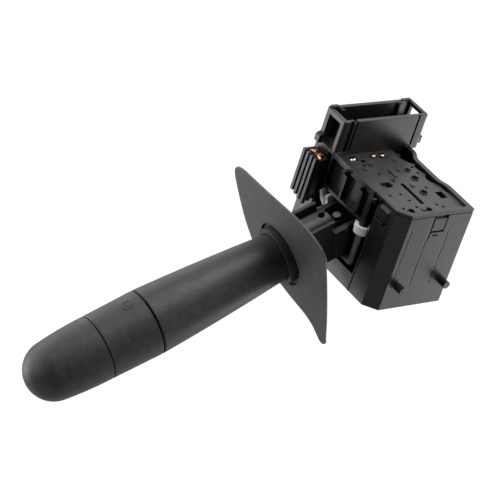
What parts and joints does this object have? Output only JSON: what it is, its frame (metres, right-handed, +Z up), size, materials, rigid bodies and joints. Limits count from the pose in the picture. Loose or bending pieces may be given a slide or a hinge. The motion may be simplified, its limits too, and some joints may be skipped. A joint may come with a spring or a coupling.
{
  "type": "combination_stalk_switch",
  "caption": "Column stalk switch with tapered grip, twist ring, domed end cap and grey shield on a black switch box with an open connector socket",
  "frame": {"origin": "midway between the roots of the two locating pins on the box's front face", "axes": "+Z up, the way the connector socket opens; -X the side that the lever leaves from; -Y out of the face with the pins"},
  "size_m": [0.1582, 0.0641, 0.0958],
  "materials": {
    "housing": "moulded black plastic, satin with fine grain",
    "carrier": "moulded black plastic, satin",
    "plate": "dark grey moulded plastic",
    "copper": "bare copper alloy strip",
    "terminals": "tin and copper plated blades",
    "white_plastic": "natural white acetal",
    "grey_plastic": "mid grey moulded plastic",
    "mechanism": "dark grey glass filled plastic",
    "slider_plastic": "grey acetal",
    "steel": "plain steel",
    "grip": "soft matt charcoal plastic, fine texture",
    "shield": "thin matt grey plastic sheet",
    "collar": "dark grey plastic",
    "contact_disc": "tan board with tracks",
    "brass": "turned brass button"
  },
  "bodies": {
    "box": {"housing_shell": "housing", "terminal_carrier": "carrier", "contact_plate": "plate", "lead_frame": "copper", "connector_terminals": "terminals", "contact_block": "carrier", "leaf_spring": "copper", "stop_rod": "grey_plastic", "pivot_bracket": "steel", "indicator_pivot_pin": "steel", "slider_guide": "mechanism"},
    "signal_carrier": {"indicator_carrier": "mechanism", "rocker_pin": "steel", "dip_pivot_pin": "steel", "indicator_spring": "steel"},
    "lever": {"stalk_core": "mechanism", "stalk_sleeve": "grip", "shield_plate": "shield", "shield_collar": "collar", "dip_spring": "steel", "horn_contact": "brass", "horn_spring": "steel"},
    "head": {"switch_head": "collar", "rotary_contact_disc": "contact_disc", "cap_clip": "steel"},
    "ring": {"fog_ring": "grip"},
    "cap": {"light_cap": "grip"},
    "rocker": {"dip_rocker": "white_plastic"},
    "signal_detent": {"indicator_plunger": "steel"},
    "dip_detent": {"dip_plunger": "steel"},
    "cancel": {"cancel_lever": "white_plastic"},
    "signal_slide": {"indicator_slider": "slider_plastic", "indicator_wiper": "copper"},
    "dip_slide": {"dip_slider": "slider_plastic", "dip_wiper": "copper"}
  },
  "joints": [
    {"name": "turn_signal", "type": "hinge", "parent": "box", "child": "signal_carrier", "pos_m": [-0.01875, 0.03, 0.0072], "axis": [-0.4035, 0, 0.915], "range_deg": [-8, 8]},
    {"name": "dip_beam", "type": "hinge", "parent": "signal_carrier", "child": "lever", "pos_m": [-0.03247, 0.03, 0.00115], "axis": [0, 1, 0], "range_deg": [-5, 5]},
    {"name": "horn_push", "type": "slide", "parent": "lever", "child": "head", "axis": [0.915, 0, 0.4035], "range_m": [0, 0.0005], "stiffness_N_per_m": 2000, "springref_m": -0.0005},
    {"name": "ring_turn", "type": "hinge", "parent": "head", "child": "ring", "pos_m": [-0.10183, 0.03, -0.02944], "axis": [-0.915, 0, -0.4035], "range_deg": [-30, 30]},
    {"name": "cap_turn", "type": "hinge", "parent": "head", "child": "cap", "pos_m": [-0.11757, 0.03, -0.03638], "axis": [-0.915, 0, -0.4035], "range_deg": [0, 70]},
    {"name": "rocker_swing", "type": "hinge", "parent": "signal_carrier", "child": "rocker", "pos_m": [-0.01735, 0.0405, 0.01022], "axis": [0.915, 0, 0.4035], "range_deg": [-13, 13]},
    {"name": "signal_detent_press", "type": "slide", "parent": "signal_carrier", "child": "signal_detent", "axis": [-0.915, 0, -0.4035], "range_m": [0, 0.0005], "stiffness_N_per_m": 600, "springref_m": -0.001},
    {"name": "dip_detent_press", "type": "slide", "parent": "lever", "child": "dip_detent", "axis": [-0.915, 0, -0.4035], "range_m": [0, 0.0005], "stiffness_N_per_m": 600, "springref_m": -0.001},
    {"name": "cancel_swing", "type": "hinge", "parent": "box", "child": "cancel", "pos_m": [-0.01935, 0.0174, 0.015], "axis": [0, 0, 1], "range_deg": [-12, 12], "stiffness_Nm_per_rad": 0.004},
    {"name": "signal_contact_slide", "type": "slide", "parent": "box", "child": "signal_slide", "axis": [0, 1, 0], "range_m": [-0.0018, 0.0018]},
    {"name": "dip_contact_slide", "type": "slide", "parent": "box", "child": "dip_slide", "axis": [0, 1, 0], "range_m": [-0.0009, 0.0009]}
  ],
  "couplings": [
    {"joint": "rocker_swing", "follows": "dip_beam", "ratio": 2.55},
    {"joint": "signal_contact_slide", "follows": "turn_signal", "m_per_rad": 0.01156},
    {"joint": "dip_contact_slide", "follows": "dip_beam", "m_per_rad": -0.0092}
  ]
}
